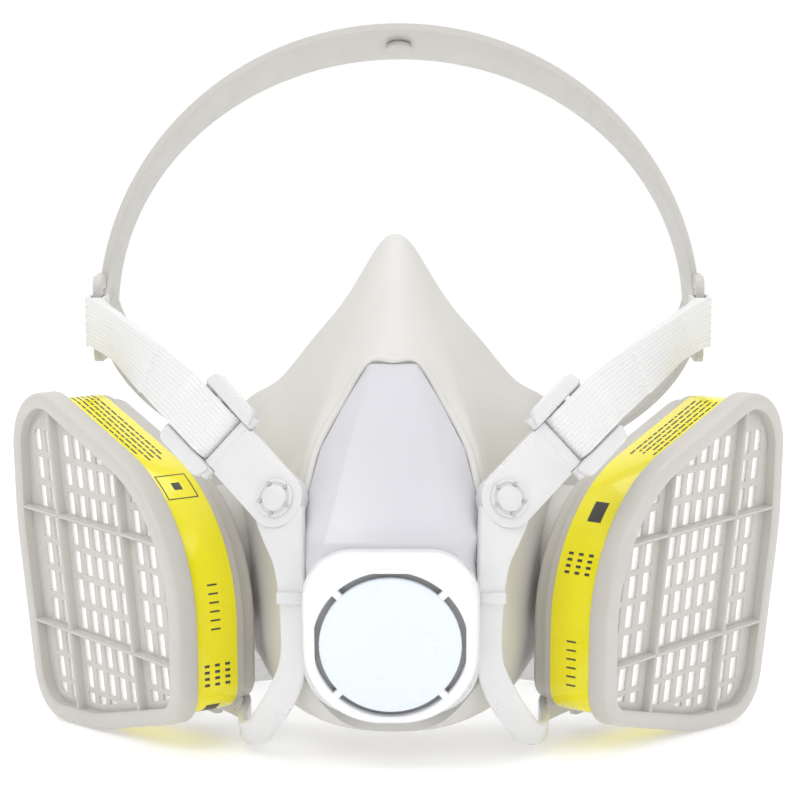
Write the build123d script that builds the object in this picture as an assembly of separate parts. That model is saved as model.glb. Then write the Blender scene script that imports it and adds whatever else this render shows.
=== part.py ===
"""Half-mask respirator with two bonded cartridges, standing on a table with its head harness up.

Frame: +Z up, the wearer looks along -Y, +X is the mask's left-hand side as seen from the front.
The mask and its harness are drawn in the mask frame, which leans back by STANCE from how the mask stands.
save() leans each sub-part forward on to its elbows and cartridges and puts the origin at the bottom centre.
The neck strap lies on the table, so it is drawn upright and only shifted.
Millimetres throughout.
"""
from build123d import *
import os
from math import cos, hypot, radians, sin

# ---------------------------------------------------------------- driving dimensions
STANCE = 5.0                  # degrees that the mask frame leans back from how the mask stands
DROP = 1.3                    # height of the mask frame's origin plane over the table, at its Y = 0
CENTRE_Y = 21.4               # depth of the whole's middle, from the mask frame's origin
TABLE_TO_ROW = Location((0, -CENTRE_Y, 0))
MASK_TO_ROW = Location((0, -CENTRE_Y, -DROP), (STANCE, 0, 0))

# facepiece (elastomer)
WALL = 2.6                    # elastomer wall
PORT_U, PORT_V = 28.0, 45.0   # the port's centre on the cartridge's back
PORT_R = 14.0                 # bore in each cheek boss
BOSS_R = 17.5

# exhalation valve group, drawn in its own tilted frame
VALVE_TILT = 9.0              # degrees, the valve looks a little downward
VALVE_CENTRE = (0, -43.5, 38.5)
CUP_HALF_W, CUP_LOW, CUP_HIGH = 19.7, -20.3, 20.0
CUP_FLANGE, FLANGE_W = 2.4, (-8.6, -7.0)   # flange that seats the cup in the facepiece
CUP_FLOOR = 2.4
COVER_HALF_W, COVER_LOW, COVER_HIGH = 20.7, -21.2, 20.8
COVER_DEPTH, COVER_WALL = 9.0, 1.5
GRILLE_R = 18.2               # round opening in the valve cover
DISC_R = 16.7                 # shield disc inside that opening
SEAT_R, SEAT_FLANGE_R, SEAT_BORE_R = 15.0, 16.2, 12.6
FLAP_R, FLAP_T = 13.6, 0.8
POST_R, POST_CLEARANCE = 1.2, 0.1

# cartridges
SWEEP = 52.0                  # degrees between the cartridge's face and straight ahead
CART_FRONT_CORNER = (53.8, -25.0)
# Corners of the cartridge's outline, with their fillet radii.
CART_CORNERS = [(-2.2, 11, 9), (38, 0.9, 50), (67.6, -1, 14), (78.2, 50, 80), (80.6, 92, 15), (-1.7, 63.8, 44)]
CART_DEPTH = 26.0
COVER_BAND = 6.0              # depth of the front cover's side wall
HOUSING_INSET, SHOULDER_INSET = 2.3, 3.6
LABEL_BACK = 19.0             # where the label band ends and the shoulder begins
LIP, RECESS, PLATE_T = 4.2, 2.9, 1.3
LEAN = 0.178                  # fins and slots lean outward by this much per millimetre of height
FIN_U, FIN_V, FIN_T, FIN_H = (25.4, 56.8), (23.9, 53.6), 1.0, 2.4
HOLE_W, HOLE_H = 3.4, 5.6
HOLE_U = (7.4, 13.4, 19.4, 29.6, 35.1, 40.6, 46.1, 51.6, 60.4, 66.2)     # left edges, at V = 58
HOLE_V = (3.6, 10.4, 17.3, 25.5, 32.7, 39.9, 47.0, 54.9, 62.3, 69.7)     # lower edges
SHELL_T = 1.5
NECK_R_IN, NECK_LEN = 12.2, 9.0
INHALE_SEAT_W, INHALE_FLAP_R = -32.2, 11.4

# strap arms, studs and buckles
STUD = Vector(27.5, -32.0, 68.0)
ARM_AXIS = Vector(0.628, 0.523, 0.576)
ARM_NORMAL = Vector(0.385, -0.851, 0.353)
ARM_T, ARM_W, ARM_LEN = 2.0, 14.0, 17.0
STUD_R, STUD_CLEARANCE = 3.0, 0.06
BUCKLE_PIN_X, BUCKLE_PIN_R = 19.6, 1.2
BUCKLE_END = 36.0
RAIL_IN, RAIL_OUT, RAIL_T = 6.8, 9.7, 3.8
STRAP_W, STRAP_T = 13.0, 1.3

# head harness
BUCKLE_EXIT = Vector(51.2, -16.5, 90.0)   # where the strap leaves the buckle
EAR_BAR = Vector(81.0, 53.0, 102.0)       # middle of the cradle's slot bar
SWING_AT, TILT_AT = 20.0, 52.0            # distances along the strap of the two lines that it flexes at
EAR = Vector(0, 61.0, 101.0)              # middle of the line where crown and nape bands meet
CROWN_A, CROWN_B = 82.0, 80.0             # half width and height of the crown band's front edge
NAPE_B, NAPE_TILT = 60.0, 32.0
BAND_T, CROWN_BAND, NAPE_BAND = 1.8, 19.0, 16.0
EAR_X0, EAR_X1 = 79.8, 82.0
TAPER_X, CROWN_TAPER, NAPE_TAPER = 1.4, 8.0, 6.0     # how far each band closes in over its width
BUTTON_R = 2.5

# neck strap and its ladder buckles
LOWER_U, LOWER_W, LOWER_Z = 24.0, -30.6, 3.6
NECK_A, NECK_B, NECK_Y = 57.0, 54.0, 46.0


# ---------------------------------------------------------------- helpers
def save(name, shape, frame=MASK_TO_ROW):
    """Writes one sub-part, moved to where it stands on the table."""
    export_step(frame * shape, f"parts/{name}.step")


def both_sides(name, shape, frame=MASK_TO_ROW):
    """Writes a sub-part of the +X side and its mirror image."""
    save(f"{name}_right", shape, frame)
    save(f"{name}_left", mirror(shape, about=Plane.YZ), frame)


def rounded_polygon(corners):
    """A face with straight sides; corners are (x, y, fillet radius)."""
    outline = make_face(Polyline([(x, y) for x, y, _ in corners], close=True))
    for x, y, radius in corners:
        corner = outline.vertices().sort_by_distance((x, y, 0))[0]
        outline = fillet(corner, radius)
    return outline


def ribbon(stations, thickness):
    """A flat band through stations of (edge, other edge, normal)."""
    faces = []
    for edge, other, normal in stations:
        a, b = Vector(*edge), Vector(*other)
        n = Vector(*normal).normalized() * (thickness / 2)
        faces.append(make_face(Polyline([a - n, b - n, b + n, a + n], close=True)))
    return loft(faces, ruled=True)


def strap(stations, thickness=STRAP_T, width=STRAP_W):
    """A band through stations of (centre, width direction, normal)."""
    edges = []
    for centre, across, normal in stations:
        half = Vector(*across).normalized() * (width / 2)
        edges.append((Vector(*centre) - half, Vector(*centre) + half, normal))
    return ribbon(edges, thickness)


def spline_section(points, y):
    """A closed smooth face in a plane of constant Y, from half an outline that starts and ends on X = 0."""
    mirrored = [(-x, z) for x, z in reversed(points[1:-1])]
    loop = Spline([Vector(x, y, z) for x, z in list(points) + mirrored], periodic=True)
    return Face(Wire([loop]))


def inset(points, amount):
    """Half an outline moved inward by amount along its own normal."""
    moved = []
    for i, (x, z) in enumerate(points):
        before = points[i - 1] if i else (-points[1][0], points[1][1])
        after = points[i + 1] if i < len(points) - 1 else (-points[-2][0], points[-2][1])
        tx, tz = after[0] - before[0], after[1] - before[1]
        length = hypot(tx, tz)
        moved.append((x + amount * tz / length, z - amount * tx / length))
    moved[0] = (0, moved[0][1])
    moved[-1] = (0, moved[-1][1])
    return moved


def tube(plane, outer_r, inner_r, height):
    """A ring that stands on a plane."""
    return extrude(plane * (Circle(outer_r) - Circle(inner_r)), amount=height)


# ---------------------------------------------------------------- frames
def valve_plane(w=0.0):
    """The exhalation valve's frame: x along X, y up, z straight out; w is ahead of the cup's floor."""
    normal = Vector(0, -cos(radians(VALVE_TILT)), -sin(radians(VALVE_TILT)))
    return Plane(origin=Vector(*VALVE_CENTRE) + normal * w, x_dir=(1, 0, 0), z_dir=normal)


def cartridge_plane(w=0.0):
    """The +X cartridge's frame: x along the face away from the nose, y up, z straight out of the face."""
    a = radians(SWEEP)
    normal = Vector(sin(a), -cos(a), 0)
    return Plane(origin=Vector(*CART_FRONT_CORNER, 0) + normal * w, x_dir=(cos(a), sin(a), 0), z_dir=normal)


def arm_plane(x=0.0, w=0.0):
    """The +X strap arm's frame: x along the arm, z out of its face, origin at the stud."""
    return Plane(origin=STUD + ARM_AXIS * x + ARM_NORMAL * w, x_dir=ARM_AXIS, z_dir=ARM_NORMAL)


def across_arm(x, w, start_y):
    """A frame whose z runs across the arm, for bars and pins."""
    across = ARM_NORMAL.cross(ARM_AXIS)
    return Plane(origin=STUD + ARM_AXIS * x + ARM_NORMAL * w + across * start_y, x_dir=ARM_AXIS, z_dir=across)


def arm_point(x, y, w):
    return STUD + ARM_AXIS * x + ARM_NORMAL.cross(ARM_AXIS) * y + ARM_NORMAL * w


# ---------------------------------------------------------------- facepiece
# Half outlines from the nose ridge round the cheek to the chin, front to back: Y, then (x, z) pairs.
FACE_SECTIONS = [
    (-34, [(0, 66), (10, 65.5), (18, 63), (22.8, 57.5), (24.4, 50), (24.5, 40), (22, 27), (12, 14), (0, 11.5)]),
    (-22, [(0, 91), (6, 89.5), (12, 85.5), (17, 79.5), (23, 66), (27, 52), (26.5, 32), (16, 13), (0, 10.5)]),
    (-8, [(0, 105.5), (5.5, 103), (10, 98.5), (16, 89.5), (23, 76), (29, 60), (29.5, 38), (20, 14), (0, 10)]),
    (8, [(0, 119), (5.5, 116.5), (11.5, 106.5), (21, 93), (31, 81), (38.5, 66), (39, 42), (28, 15), (0, 9.5)]),
    (24, [(0, 132.5), (5.5, 130), (13, 116), (25, 99.5), (37, 87.5), (46, 72), (46.5, 46), (36, 16), (0, 9.5)]),
    (48, [(0, 152), (6.5, 149), (16, 130), (30, 110.5), (43, 96.5), (52, 80), (52.5, 50), (42, 17), (0, 9.5)]),
]
# The back edge seen from the side: it runs forward at the nose bridge and under the chin.
BACK_EDGE = [(17, 134), (20, 117), (29, 97), (40, 68), (38, 40), (28, 20), (20, 4)]


def facepiece_solids():
    """The outside and the inside of the elastomer shell; the outside is trimmed to the back edge."""
    outer = loft([spline_section(points, y) for y, points in FACE_SECTIONS])
    cavity = loft([spline_section(inset(points, WALL), y) for y, points in FACE_SECTIONS])
    edge = Spline([Vector(0, y, z) for y, z in BACK_EDGE])
    corners = [edge @ 1, Vector(0, 90, 4), Vector(0, 90, 170), Vector(0, 17, 170), edge @ 0]
    trim_outline = Wire([edge] + [Line(corners[i], corners[i + 1]) for i in range(4)])
    trim = extrude(Face(trim_outline), amount=90, dir=(1, 0, 0), both=True)
    return outer - trim, cavity


WINDOW_OUTLINE = [(-7.5, 98.5), (7.5, 98.5), (22.6, 60), (22.6, 50), (-22.6, 50), (-22.6, 60)]


def window_block(shift):
    """A solid whose front is the window's three facets, moved back by shift."""
    def section(z, front_x, front_y, side_x, side_y):
        half = [(front_x, front_y), (side_x, side_y), (side_x, 30)]
        loop = half + [(-x, y) for x, y in reversed(half)]
        return make_face(Polyline([Vector(x, y + shift, z) for x, y in loop], close=True))
    top = section(98.5, 5.5, -15.5, 7.5, -11)
    bottom = section(60, 15.5, -46.5, 22.6, -34)
    foot = section(50, 15.5, -46.5, 22.6, -34)
    return loft([top, bottom], ruled=True) + loft([bottom, foot], ruled=True)


def cup_block(half_w, low, high, w_back, w_front):
    """A rounded-square prism in the valve frame."""
    outline = Pos(0, (high + low) / 2) * RectangleRounded(2 * half_w, high - low, half_w - 8)
    return extrude(valve_plane(w_back) * outline, amount=w_front - w_back)


def faceplate():
    """Window of three facets that runs down into a flat-floored cup for the exhalation valve."""
    floor_back = -CUP_FLOOR
    inner = (CUP_HALF_W - 2, CUP_LOW + 2, CUP_HIGH - 2)
    skin = window_block(0) - window_block(2.0)
    skin = skin - cup_block(CUP_HALF_W, CUP_LOW, CUP_HIGH, 0, 30) - cup_block(*inner, -40, floor_back)
    flange = cup_block(CUP_HALF_W + CUP_FLANGE, CUP_LOW - CUP_FLANGE, CUP_HIGH - 0.6, *FLANGE_W)
    cup = cup_block(CUP_HALF_W, CUP_LOW, CUP_HIGH, -10, 0) + flange - cup_block(*inner, -12, floor_back)
    return skin + cup - extrude(valve_plane(-12) * Circle(SEAT_R), amount=20)


def facepiece(outer, cavity):
    """The elastomer shell with its window opening, chin ring and two cheek bosses."""
    opening_face = make_face(Polyline([Vector(x, -70, z) for x, z in WINDOW_OUTLINE], close=True))
    shell = outer - cavity
    shell = shell - extrude(opening_face, amount=64, dir=(0, 1, 0))
    shell = shell - cup_block(CUP_HALF_W, CUP_LOW, CUP_HIGH, -40, 20)
    shell = shell - cup_block(CUP_HALF_W + CUP_FLANGE, CUP_LOW - CUP_FLANGE, CUP_HIGH, FLANGE_W[0], 20)
    boss = extrude(cartridge_plane(-CART_DEPTH - 1.2) * (Pos(PORT_U, PORT_V) * Circle(BOSS_R)), amount=-20)
    bore = extrude(cartridge_plane(-CART_DEPTH + 5) * (Pos(PORT_U, PORT_V) * Circle(PORT_R)), amount=-40)
    for flip in (False, True):
        side_boss = mirror(boss, about=Plane.YZ) if flip else boss
        side_bore = mirror(bore, about=Plane.YZ) if flip else bore
        shell = shell + (side_boss - cavity) - side_bore
    return shell.solids().sort_by(SortBy.VOLUME)[-1]


# ---------------------------------------------------------------- exhalation valve
def spider(plane, rim_r, hub_r, thickness, bars=4):
    """Crossed bars with a hub, the open middle of a valve seat."""
    sketch = Circle(hub_r)
    for i in range(bars // 2):
        sketch = sketch + Rot(0, 0, 45 + i * 90) * Rectangle(2 * rim_r, 1.5)
    sketch = sketch & Circle(rim_r)
    return extrude(plane * sketch, amount=thickness)


def exhalation_valve_seat():
    seat = tube(valve_plane(-4), SEAT_R, SEAT_BORE_R, 4) + tube(valve_plane(0), SEAT_FLANGE_R, SEAT_BORE_R, 1)
    seat = seat + spider(valve_plane(-1.6), SEAT_BORE_R + 0.5, 3, 1.6)
    return seat + extrude(valve_plane(-1.6) * Circle(POST_R), amount=6.4)


def exhalation_valve_flap():
    return tube(valve_plane(1.03), FLAP_R, POST_R + POST_CLEARANCE, FLAP_T)


def valve_cover():
    """Rounded-square cap with a round opening; a slightly proud disc hangs in it on four spokes."""
    t = COVER_WALL
    cap = cup_block(COVER_HALF_W, COVER_LOW, COVER_HIGH, 0.02, COVER_DEPTH)
    front_rim = cap.faces().filter_by(lambda f: abs(f.normal_at().dot(valve_plane().z_dir) - 1) < 1e-3)
    cap = fillet(front_rim.edges(), 1.4)
    cap = cap - cup_block(COVER_HALF_W - t, COVER_LOW + t, COVER_HIGH - t, -1, COVER_DEPTH - 1.8)
    cap = cap - extrude(valve_plane(-1) * Circle(GRILLE_R), amount=20)
    disc = extrude(valve_plane(COVER_DEPTH - 1.6) * Circle(DISC_R), amount=2.6)
    disc = fillet(disc.edges().sort_by(lambda e: -e.center().dot(valve_plane().z_dir))[0], 0.8)
    spokes = Sketch()
    for i in range(4):
        spokes = spokes + Rot(0, 0, 45 + 90 * i) * Pos(DISC_R + 0.4, 0) * Rectangle(4, 1.8)
    return cap + disc + extrude(valve_plane(COVER_DEPTH - 1.6) * spokes, amount=1.2)


# ---------------------------------------------------------------- cartridges
def cartridge_outline(inset_by):
    outline = rounded_polygon(CART_CORNERS)
    return offset(outline, -inset_by) if inset_by else outline


def cartridge_prism(inset_by, w_back, w_front):
    return extrude(cartridge_plane(w_back) * cartridge_outline(inset_by), amount=w_front - w_back)


def on_port(w, sketch, amount):
    """Something round on the port's centre line, in the cartridge frame."""
    return extrude(cartridge_plane(w) * (Pos(PORT_U, PORT_V) * sketch), amount=amount)


def cartridge_housing():
    """Tray that holds the bed, with a narrower shoulder behind the label and the port's neck."""
    body = cartridge_prism(HOUSING_INSET, -LABEL_BACK, -COVER_BAND)
    body = body + cartridge_prism(SHOULDER_INSET, -CART_DEPTH, -LABEL_BACK)
    body = body - cartridge_prism(SHOULDER_INSET + SHELL_T, -CART_DEPTH + 1.8, 0)
    body = body + on_port(-CART_DEPTH, Circle(PORT_R), -NECK_LEN)
    return body - on_port(-CART_DEPTH + 3, Circle(NECK_R_IN), -20)


def cartridge_cover():
    """Front cover: flat lip, sunk grille plate with rows of slots, and fins that stand on the plate."""
    cover = cartridge_prism(0, -COVER_BAND, 0)
    cover = cover - cartridge_prism(LIP, -RECESS, 1)
    cover = cover - cartridge_prism(LIP, -COVER_BAND - 1, -RECESS - PLATE_T)
    holes = Sketch()
    for v in HOLE_V:
        for u in HOLE_U:
            low, high = u + LEAN * (v - 58), u + LEAN * (v + HOLE_H - 58)
            corners = [(low, v), (low + HOLE_W, v), (high + HOLE_W, v + HOLE_H), (high, v + HOLE_H)]
            holes = holes + make_face(Polyline(corners, close=True))
    holes = holes & cartridge_outline(LIP + 1.8)
    cover = cover - extrude(cartridge_plane(-RECESS - PLATE_T - 1) * holes, amount=PLATE_T + 2)
    fins = Sketch()
    for u in FIN_U:
        low, high = u - LEAN * 68, u + LEAN * 42
        fins = fins + make_face(Polyline([(low, -10), (low + FIN_T, -10), (high + FIN_T, 100), (high, 100)], close=True))
    for v in FIN_V:
        fins = fins + Pos(38, v) * Rectangle(100, FIN_T)
    fins = fins & cartridge_outline(LIP - 0.5)
    return cover + extrude(cartridge_plane(-RECESS) * fins, amount=FIN_H)


def label_band():
    """Printed band round the housing; it stops short on the outer lower corner."""
    band = cartridge_prism(HOUSING_INSET - 0.35, -LABEL_BACK + 0.4, -COVER_BAND - 0.1)
    band = band - cartridge_prism(HOUSING_INSET, -LABEL_BACK, -COVER_BAND)
    gap = extrude(cartridge_plane(-LABEL_BACK - 1) * (Pos(68, 2) * Rectangle(44, 40)), amount=30)
    return (band - gap).solids().sort_by(SortBy.VOLUME)[-1]


def filter_layer(w_back, w_front):
    return cartridge_prism(SHOULDER_INSET + SHELL_T + 0.2, w_back, w_front)


def inhalation_seat():
    """Ring with a four-bar spider that carries the inhalation flap."""
    ring = on_port(INHALE_SEAT_W, Circle(NECK_R_IN) - Circle(10.4), 1.6)
    bars = Circle(2.2)
    for i in range(2):
        bars = bars + Rot(0, 0, 90 * i) * Rectangle(22, 1.5)
    post = on_port(INHALE_SEAT_W, Circle(POST_R), -2.9)
    return ring + on_port(INHALE_SEAT_W, bars & Circle(11), 1.6) + post


def inhalation_flap():
    return on_port(INHALE_SEAT_W - 0.04, Circle(INHALE_FLAP_R) - Circle(POST_R + POST_CLEARANCE), -0.7)


# ---------------------------------------------------------------- yoke, studs, arms, buckles
# One leg, from under the stud down to the elbow: (inner x, Y, z) and (outer x, Y, z) of each station.
LEG = [
    ((21.8, -37.4, 60.5), (31, -31.2, 60.5)),
    ((20.8, -40.4, 57), (29.2, -36.6, 57)),
    ((20.3, -41.0, 52), (27.4, -38.8, 52)),
    ((20.0, -41.0, 38), (26.4, -40.0, 38)),
    ((20.2, -39.4, 26), (27.4, -38.6, 26)),
    ((23.6, -34.5, 15), (29.4, -34.5, 19.5)),
    ((29.6, -28.6, 7.9), (34.6, -28.6, 12.6)),
]
# The strip that runs back from the elbow to the lower buckle: (x, Y) with its lower and upper edge.
HEEL = [((33.4, -28.0), 6.8, 12.9), ((37.2, -17), 5.8, 11.8), ((36.8, -6.5), 5.2, 11.9)]


def harness_yoke():
    """Frame round the valve cup with a leg on each side; each leg ends in an elbow that runs back."""
    frame = cup_block(CUP_HALF_W + 1.2, CUP_LOW - 1.2, CUP_HIGH, -4.0, 0.0)
    frame = frame - cup_block(CUP_HALF_W + 0.05, CUP_LOW - 0.05, CUP_HIGH + 3, -20, 20)
    frame = frame - extrude(valve_plane(-20) * (Pos(0, 24) * Rectangle(80, 20)), amount=40)
    pad_sketch = Circle(7) + Rot(0, 0, -128) * Pos(5, 0) * Rectangle(10, 8.8)
    pad = extrude(arm_plane(0, -3.2) * pad_sketch, amount=2.1)
    leg = ribbon([(inner, outer, (0.1, -1, 0.1)) for inner, outer in LEG], 2.4)
    elbow = extrude(Plane(origin=(33.0, -26.4, 10.0), x_dir=(1, 0, 0), z_dir=(0, -1, 0)) * Circle(3.7), amount=3.7)
    strip = [((x, y, low), (x, y, high), (1, 0, 0)) for (x, y), low, high in HEEL]
    for u, low, high in ((LOWER_U - 3, 5, 14), (LOWER_U + 0.4, 6, 16)):
        edges = [cartridge_plane(LOWER_W + 1.2).from_local_coords(Vector(u, v, 0)) for v in (low, high)]
        strip.append((*edges, (0.79, -0.61, 0)))
    heel = ribbon(strip, 2.2)
    tie = extrude(Plane(origin=(22.6, -39.6, 47), x_dir=(1, 0, 0), z_dir=(0, -1, 0)) * Rectangle(5.0, 5), amount=2.6)
    tie = tie - cup_block(CUP_HALF_W + 0.05, CUP_LOW, CUP_HIGH, -20, 20)
    side = pad + leg + elbow + heel + tie
    side = side - extrude(arm_plane(0, -6) * Circle(STUD_R), amount=8)
    side = side - extrude(arm_plane(0, -4.2) * Circle(4.7), amount=1)
    return frame + side + mirror(side, about=Plane.YZ)


def pivot_stud():
    shank = extrude(arm_plane(0, -3.2) * Circle(STUD_R), amount=4.8)
    foot = extrude(arm_plane(0, -4.0) * Circle(4.6), amount=0.8)
    head = extrude(arm_plane(0, 1.06) * Circle(4.7), amount=0.9)
    return shank + foot + head


def strap_arm():
    """Flat arm that turns on the stud; its far end is the pin that the buckle hangs on."""
    outline = Circle(ARM_W / 2) + Pos(ARM_LEN / 2, 0) * Rectangle(ARM_LEN, ARM_W)
    outline = outline + Pos(18.2, 0) * Rectangle(3.2, 2 * RAIL_IN - 0.6) - Circle(STUD_R + STUD_CLEARANCE)
    arm = extrude(arm_plane(0, -ARM_T / 2) * outline, amount=ARM_T)
    half = RAIL_IN - 0.3
    arm = arm + extrude(across_arm(BUCKLE_PIN_X, 0, -half) * Circle(1.7), amount=2 * half)
    return arm + extrude(across_arm(BUCKLE_PIN_X, 0, -9.2) * Circle(BUCKLE_PIN_R), amount=18.4)


def buckle():
    """Ladder-lock: two rails on the arm's pin, a strap bar between them and a wide end bar."""
    middle = (BUCKLE_PIN_X + BUCKLE_END - RAIL_T / 2) / 2
    length = BUCKLE_END - RAIL_T / 2 - BUCKLE_PIN_X
    body = None
    for start in (-RAIL_OUT, RAIL_IN):
        profile = Pos(middle - BUCKLE_PIN_X, 0) * SlotCenterToCenter(length, RAIL_T)
        profile = profile - Circle(BUCKLE_PIN_R + 0.05)
        rail = extrude(across_arm(BUCKLE_PIN_X, 0, start) * profile, amount=RAIL_OUT - RAIL_IN)
        body = rail if body is None else body + rail
    bar = extrude(across_arm(25.0, 0, -RAIL_OUT + 1) * Circle(1.5), amount=2 * RAIL_OUT - 2)
    end = extrude(across_arm(33.6, 0.0, -RAIL_OUT + 1) * RectangleRounded(3.8, 2.6, 1), amount=2 * RAIL_OUT - 2)
    return body + bar + end


def strap_direction():
    return (EAR_BAR - BUCKLE_EXIT).normalized()


def strap_frame(distance):
    """Centre, width direction and normal of the strap some way along from the buckle; it twists upright."""
    along = strap_direction()
    span = (EAR_BAR - BUCKLE_EXIT).length
    start = ARM_NORMAL.cross(ARM_AXIS)
    share = min(1.0, distance / (0.7 * span))
    across = start * (1 - share) + Vector(0, 0, 1) * share
    across = (across - along * across.dot(along)).normalized()
    return BUCKLE_EXIT + along * distance, across, along.cross(across)


def buckle_strap():
    """The end of the elastic that dives through the buckle."""
    across = ARM_NORMAL.cross(ARM_AXIS)
    path = [(22.4, -0.4, 3.0), (22.9, 1.2, 1.2), (24.6, 2.4, 0.3), (28.5, 2.75, 0.05), (33.0, 3.1, 0.0)]
    stations = [(arm_point(x, 0, w), across, ARM_NORMAL + ARM_AXIS * -lean) for x, w, lean in path]
    stations += [strap_frame(d) for d in (1.5, SWING_AT / 2, SWING_AT - 1.5)]
    return strap(stations)


def side_strap():
    """The doubled elastic between the two places where it flexes."""
    step = (TILT_AT - 1.5 - SWING_AT - 8) / 2
    return strap([strap_frame(SWING_AT + 8 + step * i) for i in range(3)], thickness=2 * STRAP_T)


def ear_loop():
    """The end of the elastic that wraps round the cradle's slot bar."""
    centre, across, normal = strap_frame(TILT_AT + 8)
    z0 = EAR_BAR.Z - STRAP_W / 2
    outside = Box(5.8, 12.5, STRAP_W, align=(Align.MIN, Align.MIN, Align.MIN))
    inside = Box(3.0, 11.2, 20, align=(Align.MIN, Align.MIN, Align.MIN))
    loop = Pos(EAR_X0 - 1.8, 45.0, z0) * outside - Pos(EAR_X0 - 0.4, 44.9, z0 - 2) * inside
    neck_across = Vector(0, 0, 1)
    near = strap([(centre, across, normal), (Vector(80.9, 45.2, EAR_BAR.Z), neck_across, (1, 0, 0))], thickness=2.6)
    flare = strap([(Vector(80.9, 44.0, EAR_BAR.Z), neck_across, (1, 0, 0)),
                   (Vector(80.9, 45.3, EAR_BAR.Z), neck_across, (1, 0, 0))], thickness=5.8)
    return near + flare + loop


# ---------------------------------------------------------------- head cradle
def cradle_band(tilt, height, width, taper_x, taper_y, keep_up):
    """Half of a conical oval band; its wide edge faces forward."""
    normal = Vector(0, cos(radians(tilt)), sin(radians(tilt)))
    front = Plane(origin=EAR, x_dir=(1, 0, 0), z_dir=normal)
    back = Plane(origin=EAR + normal * width, x_dir=(1, 0, 0), z_dir=normal)
    a, b, t = CROWN_A, height, BAND_T
    skin = loft([front * Ellipse(a, b), back * Ellipse(a - taper_x, b - taper_y)])
    core = loft([front * Ellipse(a - t, b - t), back * Ellipse(a - taper_x - t, b - taper_y - t)])
    half = Pos(0, -100 if keep_up else 100) * Rectangle(300, 200)
    return (skin - core) & extrude(Plane(origin=EAR - normal * 20, x_dir=(1, 0, 0), z_dir=normal) * half, amount=60)


def crown_normal():
    return Vector(0, CROWN_TAPER, CROWN_BAND).normalized()


def crown_button_plane(depth):
    outward = crown_normal()
    seat = EAR + Vector(0, CROWN_BAND / 2, CROWN_B - CROWN_TAPER / 2)
    return Plane(origin=seat + outward * depth, x_dir=(1, 0, 0), z_dir=outward)


def head_cradle():
    """Oval cradle of crown and nape bands, with a slotted ear on each side for the elastic."""
    cradle = cradle_band(0, CROWN_B, CROWN_BAND, TAPER_X, CROWN_TAPER, True)
    cradle = cradle + cradle_band(NAPE_TILT, NAPE_B, NAPE_BAND, TAPER_X, NAPE_TAPER, False)
    ear = Pos(EAR_X0, 50.5, 90.5) * Box(EAR_X1 - EAR_X0, 17, 23, align=(Align.MIN, Align.MIN, Align.MIN))
    ear = fillet(ear.edges().filter_by(Axis.X), 3)
    slot = Pos(EAR_X0 - 3, 54.8, 94) * Box(9, 5.0, 16, align=(Align.MIN, Align.MIN, Align.MIN))
    for flip in (False, True):
        this_ear = mirror(ear, about=Plane.YZ) if flip else ear
        this_slot = mirror(slot, about=Plane.YZ) if flip else slot
        cradle = cradle + this_ear - this_slot
    return cradle - extrude(crown_button_plane(-8) * Circle(BUTTON_R), amount=16)


def crown_button():
    inner = extrude(crown_button_plane(-BAND_T - 1.6) * Circle(3.4), amount=1.2)
    return inner + extrude(crown_button_plane(-BAND_T - 0.6) * Circle(BUTTON_R), amount=BAND_T + 0.9)


# ---------------------------------------------------------------- neck strap
def lower_box(u0, u1, w0, w1, z0, z1):
    """A box in the cartridge frame."""
    sketch = Pos((u0 + u1) / 2, (z0 + z1) / 2) * Rectangle(u1 - u0, z1 - z0)
    return extrude(cartridge_plane(w0) * sketch, amount=w1 - w0)


def lower_buckle():
    frame = lower_box(LOWER_U + 0.5, LOWER_U + 9.5, LOWER_W, LOWER_W + 2.4, LOWER_Z, LOWER_Z + 16)
    frame = fillet(frame.edges().filter_by(Axis.Z), 0.6)
    return frame - lower_box(LOWER_U + 3.2, LOWER_U + 6.4, LOWER_W - 5, LOWER_W + 8, LOWER_Z + 1, LOWER_Z + 15)


def lower_loop():
    """The neck elastic's end, folded round the buckle's outer bar."""
    u0 = LOWER_U + 4.6
    outside = lower_box(u0, u0 + 8, LOWER_W - 1.7, LOWER_W + 4.1, LOWER_Z + 1.5, LOWER_Z + 14.5)
    inside = lower_box(u0 + 1.3, u0 + 9, LOWER_W - 0.4, LOWER_W + 2.8, LOWER_Z - 5, LOWER_Z + 20)
    closing = lower_box(u0 + 6.2, u0 + 9.5, LOWER_W - 0.4, LOWER_W + 2.6, LOWER_Z + 1.5, LOWER_Z + 14.5)
    return outside - inside + closing


def neck_frame(angle):
    a = radians(angle)
    centre = Vector(NECK_A * cos(a), NECK_Y + NECK_B * sin(a), 0.1 + STRAP_W / 2)
    return centre, Vector(0, 0, 1), Vector(NECK_B * cos(a), NECK_A * sin(a), 0)


def neck_strap():
    return strap([neck_frame(-15.5 + 11.7 * i) for i in range(9)])


def neck_clip(side):
    """Half of the neck clip; the hook half has a tongue that sits in the clasp half's pocket."""
    at = Pos(0, NECK_Y + NECK_B + 1.4, 0.05)
    half = Pos(side * 7.15, 0, 7.5) * Box(13.7, 3.4, 15) - Pos(side * 10.6, 0, 7.5) * Box(3.2, 9, 13.6)
    if side > 0:
        return at * (half - Pos(3.0, 0, 7.5) * Box(8, 2.0, 8))
    return at * (half + Pos(2.2, 0, 7.5) * Box(7, 1.6, 7))


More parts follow.
